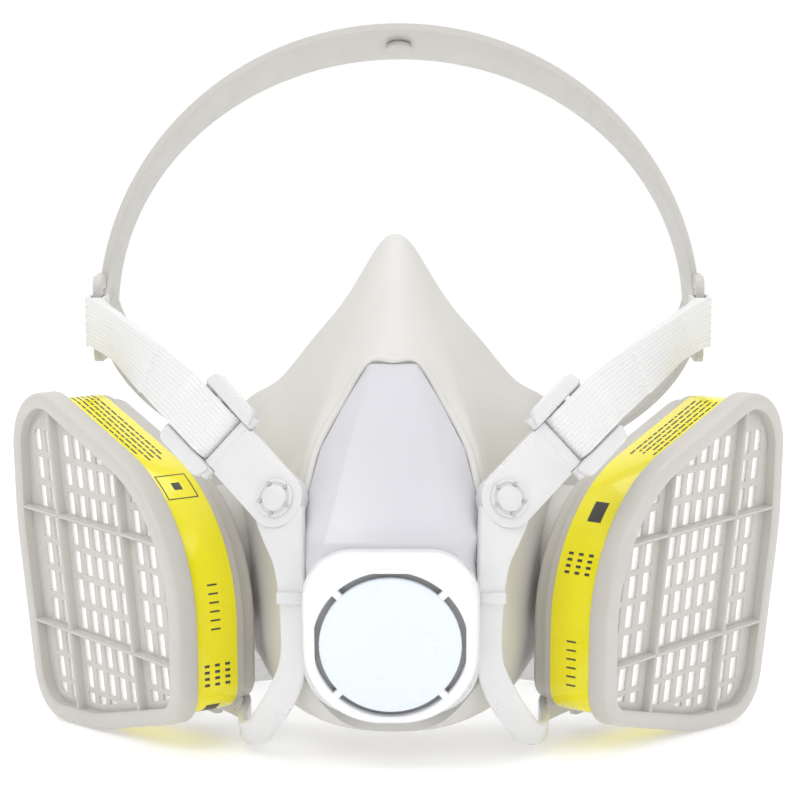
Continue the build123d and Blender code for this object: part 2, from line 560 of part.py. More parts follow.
# ---------------------------------------------------------------- the whole
def build():
    os.makedirs("parts", exist_ok=True)
    outer, cavity = facepiece_solids()
    save("facepiece", facepiece(outer, cavity))
    save("faceplate", faceplate())
    save("exhalation_valve_seat", exhalation_valve_seat())
    save("exhalation_valve_flap", exhalation_valve_flap())
    save("valve_cover", valve_cover())
    save("harness_yoke", harness_yoke())
    both_sides("cartridge_housing", cartridge_housing())
    both_sides("cartridge_cover", cartridge_cover())
    both_sides("label_band", label_band())
    both_sides("front_scrim", filter_layer(-COVER_BAND + 0.1, -RECESS - PLATE_T - 0.05))
    both_sides("sorbent_bed", filter_layer(-CART_DEPTH + 2.6, -COVER_BAND))
    both_sides("rear_scrim", filter_layer(-CART_DEPTH + 1.85, -CART_DEPTH + 2.5))
    both_sides("port_gasket", on_port(-CART_DEPTH - 0.05, Circle(BOSS_R - 0.5) - Circle(PORT_R + 0.1), -1.1))
    both_sides("inhalation_seat", inhalation_seat())
    both_sides("inhalation_flap", inhalation_flap())
    both_sides("pivot_stud", pivot_stud())
    both_sides("strap_arm", strap_arm())
    both_sides("buckle", buckle())
    both_sides("buckle_strap", buckle_strap())
    both_sides("side_strap", side_strap())
    both_sides("ear_loop", ear_loop())
    save("head_cradle", head_cradle())
    save("crown_button", crown_button())
    both_sides("lower_buckle", lower_buckle())
    both_sides("lower_loop", lower_loop())
    both_sides("neck_strap", neck_strap(), TABLE_TO_ROW)
    save("neck_clasp", neck_clip(1), TABLE_TO_ROW)
    save("neck_hook", neck_clip(-1), TABLE_TO_ROW)


build()
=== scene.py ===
"""Looks for the half-mask respirator, built around its CAD frame.

Points are drawn in the mask frame in millimetres, as in the part, and moved to the row frame in metres.
"""
import math
import random

import bmesh
import bpy
import numpy as np
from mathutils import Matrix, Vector


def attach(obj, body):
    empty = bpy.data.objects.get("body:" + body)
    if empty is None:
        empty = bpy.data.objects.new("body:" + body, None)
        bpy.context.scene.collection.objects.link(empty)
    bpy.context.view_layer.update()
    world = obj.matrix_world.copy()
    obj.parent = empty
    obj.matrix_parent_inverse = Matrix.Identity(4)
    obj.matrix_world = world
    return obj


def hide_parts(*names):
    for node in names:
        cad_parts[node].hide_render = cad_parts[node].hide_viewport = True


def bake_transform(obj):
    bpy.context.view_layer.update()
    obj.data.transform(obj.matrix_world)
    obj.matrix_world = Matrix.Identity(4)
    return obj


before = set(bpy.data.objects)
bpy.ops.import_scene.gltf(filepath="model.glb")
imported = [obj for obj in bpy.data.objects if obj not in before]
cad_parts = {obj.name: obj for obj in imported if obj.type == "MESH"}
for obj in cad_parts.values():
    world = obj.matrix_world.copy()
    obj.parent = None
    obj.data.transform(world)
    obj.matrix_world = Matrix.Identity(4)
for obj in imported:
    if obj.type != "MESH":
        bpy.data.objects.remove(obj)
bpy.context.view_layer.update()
random.seed(7)

# ------------------------------------------------------------------ frames, shared with the part
STANCE, DROP, CENTRE_Y = math.radians(5.0), 1.3, 21.4
SWEEP = math.radians(52.0)
CART_FRONT_CORNER = np.array([53.8, -25.0, 0.0])
CART_CORNERS = [(-2.2, 11, 9), (38, 0.9, 50), (67.6, -1, 14), (78.2, 50, 80), (80.6, 92, 15),
                (-1.7, 63.8, 44)]
PORT = (28, 45)
VALVE_TILT = math.radians(9.0)
VALVE_CENTRE = np.array([0, -43.5, 38.5])
STUD = np.array([27.5, -32.0, 68.0])
ARM_AXIS = np.array([0.628, 0.523, 0.576])
ARM_AXIS /= np.linalg.norm(ARM_AXIS)
ARM_NORMAL = np.array([0.385, -0.851, 0.353])
ARM_NORMAL -= ARM_AXIS * ARM_NORMAL.dot(ARM_AXIS)
ARM_NORMAL /= np.linalg.norm(ARM_NORMAL)
ARM_ACROSS = np.cross(ARM_NORMAL, ARM_AXIS)
BUCKLE_EXIT = np.array([51.2, -16.5, 90.0])
EAR_BAR = np.array([81.0, 53.0, 102.0])
STRAP_W, STRAP_T = 13.0, 1.3
SIDES = (("right", 1), ("left", -1))


def mask(points):
    """Mask frame in millimetres to row frame in metres."""
    p = np.asarray(points, float).reshape(-1, 3)
    y = p[:, 1] * math.cos(STANCE) - p[:, 2] * math.sin(STANCE) - CENTRE_Y
    z = p[:, 1] * math.sin(STANCE) + p[:, 2] * math.cos(STANCE) - DROP
    return np.stack([p[:, 0], y, z], 1) / 1000


def table(points):
    """Table frame in millimetres to row frame in metres."""
    p = np.asarray(points, float).reshape(-1, 3)
    return (p - np.array([0, CENTRE_Y, 0])) / 1000


def cartridge(points):
    """(u, v, w) of the +X cartridge to the mask frame."""
    p = np.asarray(points, float).reshape(-1, 3)
    c, s = math.cos(SWEEP), math.sin(SWEEP)
    axes = np.array([[c, s, 0], [0, 0, 1], [s, -c, 0]])
    return p @ axes + CART_FRONT_CORNER


def valve(points):
    """(x, y, w) of the exhalation valve to the mask frame."""
    p = np.asarray(points, float).reshape(-1, 3)
    c, s = math.cos(VALVE_TILT), math.sin(VALVE_TILT)
    axes = np.array([[1, 0, 0], [0, -s, c], [0, -c, -s]])
    return p @ axes + VALVE_CENTRE


def arm(points):
    """(along, across, out) of the +X strap arm to the mask frame."""
    p = np.asarray(points, float).reshape(-1, 3)
    return p @ np.array([ARM_AXIS, ARM_ACROSS, ARM_NORMAL]) + STUD


# ------------------------------------------------------------------ materials
class Material:
    """A node material with a Principled shader and a few shorthands."""

    def __init__(self, name, colour, roughness, **inputs):
        self.mat = bpy.data.materials.new(name)
        self.mat.use_nodes = True
        self.tree = self.mat.node_tree
        self.shader = self.tree.nodes["Principled BSDF"]
        self.shader.inputs["Base Color"].default_value = (*colour, 1)
        self.shader.inputs["Roughness"].default_value = roughness
        for key, value in inputs.items():
            self.shader.inputs[key.replace("_", " ")].default_value = value
        self.mat.diffuse_color = (*colour, 1)

    def node(self, kind, **values):
        n = self.tree.nodes.new(kind)
        for key, value in values.items():
            if key in n.inputs:
                n.inputs[key].default_value = value
            else:
                setattr(n, key, value)
        return n

    def link(self, a, b):
        self.tree.links.new(a, b)

    def coords(self, uv=False):
        n = self.node("ShaderNodeTexCoord")
        return n.outputs["UV" if uv else "Object"]

    def noise(self, scale, detail=3.0, vector=None, roughness=0.5):
        n = self.node("ShaderNodeTexNoise", Scale=scale, Detail=detail, Roughness=roughness)
        self.link(vector or self.coords(), n.inputs["Vector"])
        return n.outputs["Fac"]

    def ramp(self, value, low, high, low_out=0.0, high_out=1.0):
        n = self.node("ShaderNodeMapRange")
        self.link(value, n.inputs["Value"])
        for key, v in (("From Min", low), ("From Max", high), ("To Min", low_out), ("To Max", high_out)):
            n.inputs[key].default_value = v
        return n.outputs["Result"]

    def math(self, operation, a, b=0.5):
        n = self.node("ShaderNodeMath", operation=operation)
        for i, v in enumerate((a, b)):
            if isinstance(v, (int, float)):
                n.inputs[i].default_value = v
            else:
                self.link(v, n.inputs[i])
        return n.outputs[0]

    def tint(self, factor, colour):
        """Mixes another colour into the base where factor is high."""
        n = self.node("ShaderNodeMix", data_type="RGBA")
        base = self.shader.inputs["Base Color"]
        if base.is_linked:
            self.link(base.links[0].from_socket, n.inputs[6])
        else:
            n.inputs[6].default_value = base.default_value
        n.inputs[7].default_value = (*colour, 1)
        self.link(factor, n.inputs[0])
        self.link(n.outputs[2], base)
        return self

    def vary_roughness(self, factor, low, high):
        self.link(self.ramp(factor, 0.3, 0.7, low, high), self.shader.inputs["Roughness"])
        return self

    def bump(self, height, strength, distance):
        n = self.node("ShaderNodeBump", Strength=strength, Distance=distance)
        self.link(height, n.inputs["Height"])
        normal = self.shader.inputs["Normal"]
        if normal.is_linked:
            self.link(normal.links[0].from_socket, n.inputs["Normal"])
        self.link(n.outputs["Normal"], normal)
        return self


def grained(name, colour, roughness, mottle=0.04, grain=9000, strength=0.06, **inputs):
    """A moulded plastic: faint clouding, faint roughness change and a fine spark-eroded grain."""
    m = Material(name, colour, roughness, **inputs)
    cloud = m.noise(60, 2)
    darker = tuple(c * (1 - mottle * 2) for c in colour)
    m.tint(m.ramp(cloud, 0.45, 0.75, 0, 0.6), darker)
    m.vary_roughness(m.noise(140, 3), roughness * 0.88, min(1, roughness * 1.14))
    m.bump(m.noise(grain, 1), strength, 0.0001)
    return m


elastomer = grained("elastomer", (0.70, 0.685, 0.655), 0.5, 0.02, 5200, 0.10, Subsurface_Weight=0.06)
elastomer.shader.inputs["Subsurface Radius"].default_value = (0.003, 0.0028, 0.0026)
window_mat = grained("clear_window", (0.77, 0.765, 0.81), 0.2, 0.01, 2500, 0.02, Transmission_Weight=0.2)
milky = grained("milky_plastic", (0.90, 0.90, 0.905), 0.3, 0.012, 3000, 0.04, Transmission_Weight=0.22,
                Subsurface_Weight=0.15)
milky.shader.inputs["Subsurface Radius"].default_value = (0.004, 0.004, 0.0042)
white = grained("white_plastic", (0.90, 0.905, 0.915), 0.24, 0.01, 3500, 0.03)
disc_mat = grained("white_disc", (0.80, 0.855, 0.93), 0.3, 0.01, 3500, 0.03)
# a mid grey that paints shade, for the valve's gap ring and the bars in the studs' grooves
shade_grey = grained("shaded_plastic", (0.50, 0.50, 0.49), 0.5, 0.02, 3000, 0.04)
silicone = grained("silicone", (0.93, 0.90, 0.82), 0.35, 0.02, 3000, 0.05, Subsurface_Weight=0.2)
cart_grey = grained("cartridge_grey", (0.60, 0.58, 0.545), 0.36, 0.03, 6000, 0.10)
cradle_grey = grained("cradle_grey", (0.585, 0.57, 0.535), 0.34, 0.02, 5000, 0.08)
yellow = Material("label_yellow", (1.0, 0.90, 0.0), 0.2, Coat_Weight=0.6, Coat_Roughness=0.08)
yellow.tint(yellow.ramp(yellow.noise(900, 2), 0.45, 0.7, 0, 0.25), (0.93, 0.80, 0.0))
yellow.bump(yellow.noise(60, 2), 0.15, 0.0004)
ink = Material("label_ink", (0.05, 0.05, 0.045), 0.4)
ink.tint(ink.ramp(ink.noise(2500, 2), 0.5, 0.7, 0, 0.5), (0.10, 0.10, 0.08))
# a faint emission paints light into the non-woven white, so it stays bright inside the deep slots that would
# lie in shade
media = Material("filter_media", (0.95, 0.95, 0.945), 0.95, Emission_Strength=0.4)
media.shader.inputs["Emission Color"].default_value = (1, 1, 1, 1)
media.tint(media.ramp(media.noise(900, 5), 0.42, 0.62, 0, 0.8), (0.84, 0.84, 0.83))
media.bump(media.noise(2600, 5, roughness=0.7), 0.6, 0.0003)
sorbent = Material("sorbent", (0.03, 0.03, 0.03), 0.8)
voronoi = sorbent.node("ShaderNodeTexVoronoi", Scale=900)
sorbent.link(sorbent.coords(), voronoi.inputs["Vector"])
sorbent.bump(voronoi.outputs["Distance"], 1.0, 0.0006)
sorbent.tint(sorbent.ramp(voronoi.outputs["Distance"], 0.2, 0.7, 0, 0.8), (0.10, 0.10, 0.10))

elastic = Material("white_elastic", (0.87, 0.87, 0.865), 0.8, Sheen_Weight=0.3)
uv = elastic.coords(uv=True)
split = elastic.node("ShaderNodeSeparateXYZ")
elastic.link(uv, split.inputs[0])
along, across = split.outputs[0], split.outputs[1]


def wave(m, value, pitch, phase=0.0):
    """0..1 sine of a length in millimetres."""
    s = m.math("SINE", m.math("ADD", m.math("MULTIPLY", value, 2 * math.pi / pitch), phase))
    return m.math("ADD", m.math("MULTIPLY", s, 0.5), 0.5)


ribs = wave(elastic, across, 1.05)
weft = wave(elastic, along, 0.62)
offset_weft = wave(elastic, along, 0.62, math.pi)
alternate = elastic.math("GREATER_THAN", wave(elastic, across, 2.1), 0.5)
weave = elastic.math("ADD", elastic.math("MULTIPLY", weft, alternate),
                     elastic.math("MULTIPLY", offset_weft, elastic.math("SUBTRACT", 1.0, alternate)))
cloth = elastic.math("ADD", elastic.math("MULTIPLY", weave, 0.55), elastic.math("MULTIPLY", ribs, 0.45))
# painted shade: the strap is greyed where the weave pattern is low, between the threads; the same pattern
# drives the bump
elastic.tint(elastic.ramp(cloth, 0.05, 0.6, 0.55, 0.0), (0.70, 0.70, 0.70))
elastic.bump(cloth, 0.8, 0.00022)
elastic.bump(elastic.noise(5000, 3), 0.35, 0.0001)


# ------------------------------------------------------------------ mesh helpers
def add(name, verts, faces, material, slot, body, cad=(), sharp=35, uvs=None):
    """A piece from row-frame points; it rides body and stands for the CAD nodes in cad."""
    mesh = bpy.data.meshes.new(name)
    mesh.from_pydata([tuple(map(float, v)) for v in verts], [], [tuple(map(int, f)) for f in faces])
    mesh.validate()
    bm = bmesh.new()
    bm.from_mesh(mesh)
    bmesh.ops.recalc_face_normals(bm, faces=bm.faces)
    bm.to_mesh(mesh)
    bm.free()
    o = bpy.data.objects.new(name, mesh)
    bpy.context.scene.collection.objects.link(o)
    if uvs is not None:
        layer = mesh.uv_layers.new(name="UVMap")
        for loop in mesh.loops:
            layer.data[loop.index].uv = uvs[loop.vertex_index]
    for m in (material if isinstance(material, (list, tuple)) else [material]):
        mesh.materials.append(m.mat)
    shade(o, sharp)
    if body:
        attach(o, body)
    if cad:
        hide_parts(*cad)
    return o


def shade(o, sharp):
    o.data.polygons.foreach_set("use_smooth", [True] * len(o.data.polygons))
    o.data.set_sharp_from_angle(angle=math.radians(sharp))


def bake(o):
    """Applies the modifiers."""
    bpy.context.view_layer.update()
    dg = bpy.context.evaluated_depsgraph_get()
    mesh = bpy.data.meshes.new_from_object(o.evaluated_get(dg))
    o.modifiers.clear()
    o.data = mesh
    return o


def bevel(o, width, segments=2, angle=35, sharp=35):
    m = o.modifiers.new("bevel", "BEVEL")
    m.width, m.segments, m.limit_method = width / 1000, segments, "ANGLE"
    m.angle_limit, m.use_clamp_overlap, m.harden_normals = math.radians(angle), True, False
    bake(o)
    shade(o, sharp)
    return o


def boolean(o, tool, operation="DIFFERENCE"):
    m = o.modifiers.new("cut", "BOOLEAN")
    m.object, m.operation, m.solver = tool, operation, "EXACT"
    bake(o)
    bpy.data.objects.remove(tool)
    return o


def rings(loops, close=True, caps=(True, True)):
    """Quads between equal rings of points; returns points and faces."""
    n = len(loops[0])
    points = np.concatenate(loops)
    faces = []
    for i in range(len(loops) - 1):
        for j in range(n if close else n - 1):
            a, b = i * n + j, i * n + (j + 1) % n
            faces.append((a, b, b + n, a + n))
    if caps[0]:
        faces.append(tuple(range(n))[::-1])
    if caps[1]:
        faces.append(tuple((len(loops) - 1) * n + j for j in range(n)))
    return points, faces


def turned(profile, count, centre=(0, 0)):
    """One circle of points for each (radius, w) of a profile."""
    angles = np.linspace(0, 2 * math.pi, count, endpoint=False)
    return [np.array([(centre[0] + r * math.cos(a), centre[1] + r * math.sin(a), w) for a in angles])
            for r, w in profile]


def merged(parts):
    """Several (points, faces) as one."""
    points, faces = [], []
    for p, f in parts:
        faces += [tuple(i + len(points) for i in face) for face in f]
        points += list(p)
    return points, faces


def rounded_loop(corners, step=2.2):
    """Points and outward normals round a convex counter-clockwise polygon with filleted corners."""
    points, normals = [], []
    k = len(corners)
    for i in range(k):
        a, b, c = (np.array(corners[j % k][:2], float) for j in (i - 1, i, i + 1))
        r = corners[i][2]
        d0, d1 = (b - a) / np.linalg.norm(b - a), (c - b) / np.linalg.norm(c - b)
        turn = math.atan2(d0[0] * d1[1] - d0[1] * d1[0], d0.dot(d1))
        tangent = r * math.tan(abs(turn) / 2)
        n0 = np.array([d0[1], -d0[0]])
        centre = b - d0 * tangent - n0 * r
        count = max(3, int(r * abs(turn) / step) + 2)
        start = math.atan2(n0[1], n0[0])
        for t in np.linspace(0, turn, count):
            n = np.array([math.cos(start + t), math.sin(start + t)])
            points.append(centre + n * r)
            normals.append(n)
    return np.array(points), np.array(normals)


def densify(outline, step):
    """The same outline with points along its straight sides too."""
    p, n = outline
    points, normals = [], []
    for i in range(len(p)):
        j = (i + 1) % len(p)
        count = max(1, int(np.linalg.norm(p[j] - p[i]) / step))
        for t in np.arange(count) / count:
            points.append(p[i] * (1 - t) + p[j] * t)
            normals.append(unit(n[i] * (1 - t) + n[j] * t))
    return np.array(points), np.array(normals)


def loop_at(outline, inset, w):
    p, n = outline
    q = p - n * inset
    return np.column_stack([q, np.full(len(q), w)])


def catmull(rows, per, closed=False):
    """Catmull-Rom through an array of points along its first axis."""
    rows = np.asarray(rows, float)
    k = len(rows)
    out = []
    segments = k if closed else k - 1
    for i in range(segments):
        if closed:
            p = [rows[(i + j) % k] for j in (-1, 0, 1, 2)]
        else:
            p = [rows[max(0, i - 1)], rows[i], rows[i + 1], rows[min(k - 1, i + 2)]]
            if i == 0:
                p[0] = 2 * rows[0] - rows[1]
            if i == k - 2:
                p[3] = 2 * rows[-1] - rows[-2]
        for t in np.arange(per) / per:
            out.append(0.5 * (2 * p[1] + (p[2] - p[0]) * t + (2 * p[0] - 5 * p[1] + 4 * p[2] - p[3]) * t * t
                              + (3 * p[1] - p[0] - 3 * p[2] + p[3]) * t ** 3))
    if not closed:
        out.append(rows[-1])
    return np.array(out)


def flip(points, side):
    p = np.array(points, float)
    p[:, 0] *= side
    return p


def strap_section(centre, across, normal, width, thickness, corner=0.5, n=4):
    """Rounded-rectangle ring and the distance across at each of its points."""
    half_w, half_t = width / 2 - corner, thickness / 2 - corner
    ring, widths = [], []
    for sx, sy, start in ((1, -1, -90), (1, 1, 0), (-1, 1, 90), (-1, -1, 180)):
        for i in range(n):
            a = math.radians(start + 90 * i / (n - 1))
            x, y = sx * half_w + corner * math.cos(a), sy * half_t + corner * math.sin(a)
            ring.append(centre + across * x + normal * y)
            widths.append(x)
    return ring, widths


def sweep(stations, width, thickness, start_at=0.0, corner=0.45):
    """A strap through stations of (centre, across, normal[, thickness]); its UVs are in millimetres."""
    loops, uvs, s = [], [], start_at
    for i, st in enumerate(stations):
        if i:
            s += float(np.linalg.norm(st[0] - stations[i - 1][0]))
        t = st[3] if len(st) > 3 else thickness
        ring, widths = strap_section(st[0], st[1], st[2], width, t, min(corner, t * 0.42))
        loops.append(np.array(ring))
        uvs += [(s, x) for x in widths]
    points, faces = rings(loops)
    return points, faces, uvs, s


def unit(v):
    return v / np.linalg.norm(v)


def cad_copy(node, name, material, body, width=0.3, segments=2, angle=30, cad=None):
    """A softened copy of a CAD node: doubled points merged, flat areas dissolved, edges rounded."""
    bm = bmesh.new()
    bm.from_mesh(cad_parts[node].data)
    bmesh.ops.remove_doubles(bm, verts=bm.verts, dist=2e-6)
    bmesh.ops.dissolve_limit(bm, angle_limit=math.radians(1.0), verts=bm.verts, edges=bm.edges)
    mesh = bpy.data.meshes.new(name)
    bm.to_mesh(mesh)
    bm.free()
    o = bpy.data.objects.new(name, mesh)
    bpy.context.scene.collection.objects.link(o)
    mesh.materials.append(material.mat)
    if width:
        bevel(o, width, segments, angle)
    shade(o, 30)
    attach(o, body)
    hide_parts(*(cad or [node]))
    return o


# ------------------------------------------------------------------ cartridges
OUTLINE = rounded_loop(CART_CORNERS)
# the slots slant by LEAN, about the height SLANT_V
LEAN, SLANT_V = 0.178, 58
FIN_U, FIN_V = (25.4, 56.8), (23.9, 53.6)
HOLE_W, HOLE_H = 3.4, 5.6
HOLE_U = (7.4, 13.4, 19.4, 29.6, 35.1, 40.6, 46.1, 51.6, 60.4, 66.2)
HOLE_V = (3.6, 10.4, 17.3, 25.5, 32.7, 39.9, 47.0, 54.9, 62.3, 69.7)
SLOT_MARGIN, SMALLEST_SLOT = 6.0, 3.0
RECESS_WALL, GRILLE_EDGE = 4.0, 4.1


def clip(polygon, inset):
    """The part of a polygon inside the cartridge's outline moved in by inset."""
    p, n = OUTLINE
    border = p - n * inset
    for i in range(len(border)):
        a, b = border[i], border[(i + 1) % len(border)]
        if np.linalg.norm(b - a) < 1e-6:
            continue
        out = []
        for j in range(len(polygon)):
            q, r = np.array(polygon[j]), np.array(polygon[(j + 1) % len(polygon)])
            dq = (b[0] - a[0]) * (q[1] - a[1]) - (b[1] - a[1]) * (q[0] - a[0])
            dr = (b[0] - a[0]) * (r[1] - a[1]) - (b[1] - a[1]) * (r[0] - a[0])
            if dq >= 0:
                out.append(q)
            if dq * dr < 0:
                out.append(q + (r - q) * dq / (dq - dr))
        polygon = out
        if len(polygon) < 3:
            return []
    return polygon


def area(polygon):
    p = np.array(polygon)
    return abs(np.dot(p[:, 0], np.roll(p[:, 1], -1)) - np.dot(p[:, 1], np.roll(p[:, 0], -1))) / 2


def prisms(polygons, w0, w1, place):
    points, faces = [], []
    for polygon in polygons:
        k, at = len(polygon), len(points)
        for w in (w0, w1):
            points += [(*q, w) for q in polygon]
        faces.append(tuple(range(at, at + k))[::-1])
        faces.append(tuple(range(at + k, at + 2 * k)))
        faces += [(at + j, at + (j + 1) % k, at + k + (j + 1) % k, at + k + j) for j in range(k)]
    return place(points), faces


def slots():
    found = []
    for v in HOLE_V:
        for u in HOLE_U:
            low, high = u + LEAN * (v - SLANT_V), u + LEAN * (v + HOLE_H - SLANT_V)
            corners = [(low, v), (low + HOLE_W, v), (high + HOLE_W, v + HOLE_H), (high, v + HOLE_H)]
            polygon = clip(corners, SLOT_MARGIN)
            if len(polygon) > 2 and area(polygon) > SMALLEST_SLOT:
                found.append(polygon)
    return found


def fin_ends(axis, at):
    """Where a fin meets the recess wall: two (u, v) points."""
    if axis == "u":
        low, high = LEAN * (-10 - SLANT_V), LEAN * (100 - SLANT_V)
        strip = [(at + low, -10), (at + 0.01 + low, -10), (at + 0.01 + high, 100), (at + high, 100)]
        inside = sorted(clip(strip, RECESS_WALL), key=lambda q: q[1])
    else:
        strip = [(-20, at), (110, at), (110, at + 0.01), (-20, at + 0.01)]
        inside = sorted(clip(strip, RECESS_WALL), key=lambda q: q[0])
    return np.array(inside[0]), np.array(inside[-1])


def fin(a, b):
    """A bar with a rounded top edge from a to b, standing on the plate."""
    d = unit(b - a)
    n = np.array([-d[1], d[0]])
    profile = [(-0.62, -3.0), (-0.55, -1.3), (-0.45, -0.75), (-0.2, -0.5),
               (0.2, -0.5), (0.45, -0.75), (0.55, -1.3), (0.62, -3.0)]
    return [np.array([[*(q + n * x), w] for x, w in profile]) for q in (a, b)]


COVER_PROFILE = [(1.9, -6.2), (0.35, -6.2), (0.1, -6.0), (0, -5.6), (0, -1.4), (0.15, -0.8), (0.45, -0.35),
                 (0.9, -0.1), (1.5, 0), (3.3, 0), (3.8, -0.12), (4.15, -0.5), (4.3, -4.2), (4.3, -5.9),
                 (2.4, -6.0)]
HOUSING_PROFILE = [(2.3, -6.0), (2.3, -20.6), (2.55, -21.2), (3.4, -21.4), (3.6, -21.7), (3.6, -24.2),
                   (3.9, -25.1), (4.6, -25.75), (5.6, -26.0)]
NECK_PROFILE = [(14, -25), (14, -34.7), (13.7, -35), (12.5, -35), (12.2, -34.7), (12.2, -26)]
BAND_PROFILE = [(2.3, -6.1), (1.98, -6.12), (1.95, -6.25), (1.95, -18.75), (1.98, -18.88), (2.3, -18.9)]
PRINT_INSET = 1.9

# along each label, in millimetres: span of fine hatching, row of ticks, columns of dots, plain block,
# framed square
LABEL_MARKS = {"right": ((50, 84), 139, 117, 102.5, None), "left": ((46, 86), 125, 145, 156, 93)}
FRAMED_SQUARE = [(0, 8.5, -8.2, -8.5), (0, 8.5, -16.7, -17.0), (0, 0.3, -8.2, -17.0),
                 (8.2, 8.5, -8.2, -17.0), (3.0, 5.5, -11.4, -13.8)]
HATCH_ROWS, HATCH_PITCH, HATCH_FROM, HATCH_TO = 6, 1.6, -7.6, -8.1
slot_shapes = slots()
for side_name, side in SIDES:
    def place(p, s=side):
        return mask(flip(cartridge(p), s))

    loops = [loop_at(OUTLINE, *q) for q in COVER_PROFILE]
    points, faces = rings(loops + [loops[0]], caps=(False, False))
    add(f"cover_rim_{side_name}", place(points), faces, cart_grey, "cartridge_grey", "mask",
        [f"cartridge_cover_{side_name}"], 40)
    plate_loops = [loop_at(OUTLINE, GRILLE_EDGE, -3.55), loop_at(OUTLINE, GRILLE_EDGE, -2.9)]
    points, faces = rings(plate_loops)
    plate = add(f"cover_grille_{side_name}", place(points), faces, cart_grey, "cartridge_grey", None, sharp=30)
    cutter = add("cutter", *prisms(slot_shapes, -6, 0, place), cart_grey, None, None)
    boolean(plate, cutter)
    bevel(plate, 0.15, 2, 40, 35)
    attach(plate, "mask")
    points, faces = merged([rings(fin(*fin_ends(axis, at + 0.5)))
                            for axis, places in (("u", FIN_U), ("v", FIN_V)) for at in places])
    add(f"cover_fins_{side_name}", place(points), faces, cart_grey, "cartridge_grey", "mask", sharp=40)

    loops = [loop_at(OUTLINE, *q) for q in HOUSING_PROFILE]
    points, faces = rings(loops)
    add(f"canister_{side_name}", place(points), faces, cart_grey, "cartridge_grey", "mask",
        [f"cartridge_housing_{side_name}"], 40)
    points, faces = rings(turned(NECK_PROFILE, 64, PORT), caps=(False, False))
    add(f"canister_neck_{side_name}", place(points), faces, cart_grey, "cartridge_grey", "mask", sharp=40)

    # label: an open band; its ends stop short of the outer lower corner
    p, n = OUTLINE
    keep = [i for i in range(len(p)) if not (p[i][0] > 46 and p[i][1] < 22)]
    start = next(i for i in keep if (i - 1) % len(p) not in keep)
    order = [(start + j) % len(p) for j in range(len(p))]
    order = [i for i in order if i in keep]
    strips = [np.column_stack([(p - n * d)[order], np.full(len(order), w)]) for d, w in BAND_PROFILE]
    points, faces = rings(strips + [strips[0]], close=False, caps=(False, False))
    add(f"label_{side_name}", place(points), faces, yellow, "label_yellow", "mask",
        [f"label_band_{side_name}"], 30)

    # plain hatching, ticks, dots and blocks stand for the print
    path = (p - n * PRINT_INSET)[order]
    lengths = np.concatenate([[0], np.cumsum(np.linalg.norm(np.diff(path, axis=0), axis=1))])

    def on_band(s, w, path=path, lengths=lengths):
        return (np.interp(s, lengths, path[:, 0]), np.interp(s, lengths, path[:, 1]), w)

    marks, mark_faces = [], []

    def dash(s0, s1, w0, w1, marks=marks, mark_faces=mark_faces, on_band=on_band):
        steps = max(2, int((s1 - s0) / 1.0) + 1)
        at = len(marks)
        for s in np.linspace(s0, s1, steps):
            marks.extend([on_band(s, w0), on_band(s, w1)])
        mark_faces.extend([(i, i + 1, i + 3, i + 2) for i in range(at, at + 2 * steps - 2, 2)])

    rng = random.Random(3)
    fine, ticks, columns, block, square = LABEL_MARKS[side_name]
    for row in range(HATCH_ROWS):
        at = fine[0] + rng.uniform(0, 2)
        while at < fine[1] - rng.uniform(0, 6):
            word = rng.uniform(1.0, 3.2)
            dash(at, at + word, HATCH_FROM - HATCH_PITCH * row, HATCH_TO - HATCH_PITCH * row)
            at += word + 0.6
    for k in range(6):
        dash(ticks + 2.2 * k, ticks + 2.2 * k + 0.42, -11.2, -14.0)
    for row in range(3):
        for k in range(4):
            dash(columns + 1.6 * k, columns + 1.6 * k + 0.7, -9.2 - 3.0 * row, -10.6 - 3.0 * row)
    dash(block, block + 6.0, -10.6, -14.6)
    if square:
        for s0, s1, w0, w1 in FRAMED_SQUARE:
            dash(square + s0, square + s1, w0, w1)
    add(f"label_print_{side_name}", place(marks), mark_faces, ink, "label_yellow", "mask", sharp=30)

# ------------------------------------------------------------------ facepiece
WALL, OPENING_Z = 0.0024, 62.0
# half outlines from the window's edge to the seal, each from the nose to the chin
FACE_ROWS = [
    [(0, -15.3, 99.2), (6.2, -14.8, 98.9), (12.4, -16.8, 88.5), (17.8, -22.6, 79), (20.4, -28.8, 69.5),
     (22.9, -34, 59), (24.3, -35, 50), (24.5, -35, 40), (22.5, -34.5, 27), (12.5, -34, 14.2), (0, -34, 11.5)],
    [(0, -12, 101.8), (6, -11, 100.8), (14.2, -13.6, 91), (19.6, -19.2, 81.4), (22.6, -24.8, 71.8),
     (25, -29.5, 60.5), (26.6, -30.5, 50), (26.6, -30.5, 39), (24.8, -30, 24), (16.5, -30, 13.0),
     (0, -30, 10.8)],
    [(0, -2, 110.5), (5.6, -1, 108.5), (12.9, -4, 99), (18.6, -8, 88.2), (23.6, -11, 77.5), (27.5, -14, 66),
     (29.6, -15, 53), (29.9, -15, 38), (29.0, -15, 20), (20.5, -15, 10.8), (0, -15, 9.2)],
    [(0, 8, 119), (5.5, 9, 116.8), (12.2, 8, 106.5), (19, 8, 96), (26.5, 8, 85.5), (34, 8, 75), (38.5, 8, 61),
     (38.8, 8, 43), (35.5, 8, 22), (25, 5, 9.2), (0, 2, 7.8)],
    [(0, 15, 125.2), (4.9, 16, 122.2), (12.8, 20, 110.5), (21.2, 25, 99.6), (30, 28, 88.8), (38.5, 31, 81.5),
     (46, 34, 66), (46.6, 33, 45), (40.5, 28, 23), (26, 18, 9.6), (0, 12, 7.8)],
    [(0, 18, 127.6), (4.5, 18.8, 124.6), (13.2, 24, 109.8), (21.8, 29, 99.2), (31, 34, 87.8), (40.5, 38, 81.5),
     (49, 41, 66.5), (49.5, 39.5, 45), (42.5, 32, 23), (27, 22, 10), (0, 16, 8.2)],
]


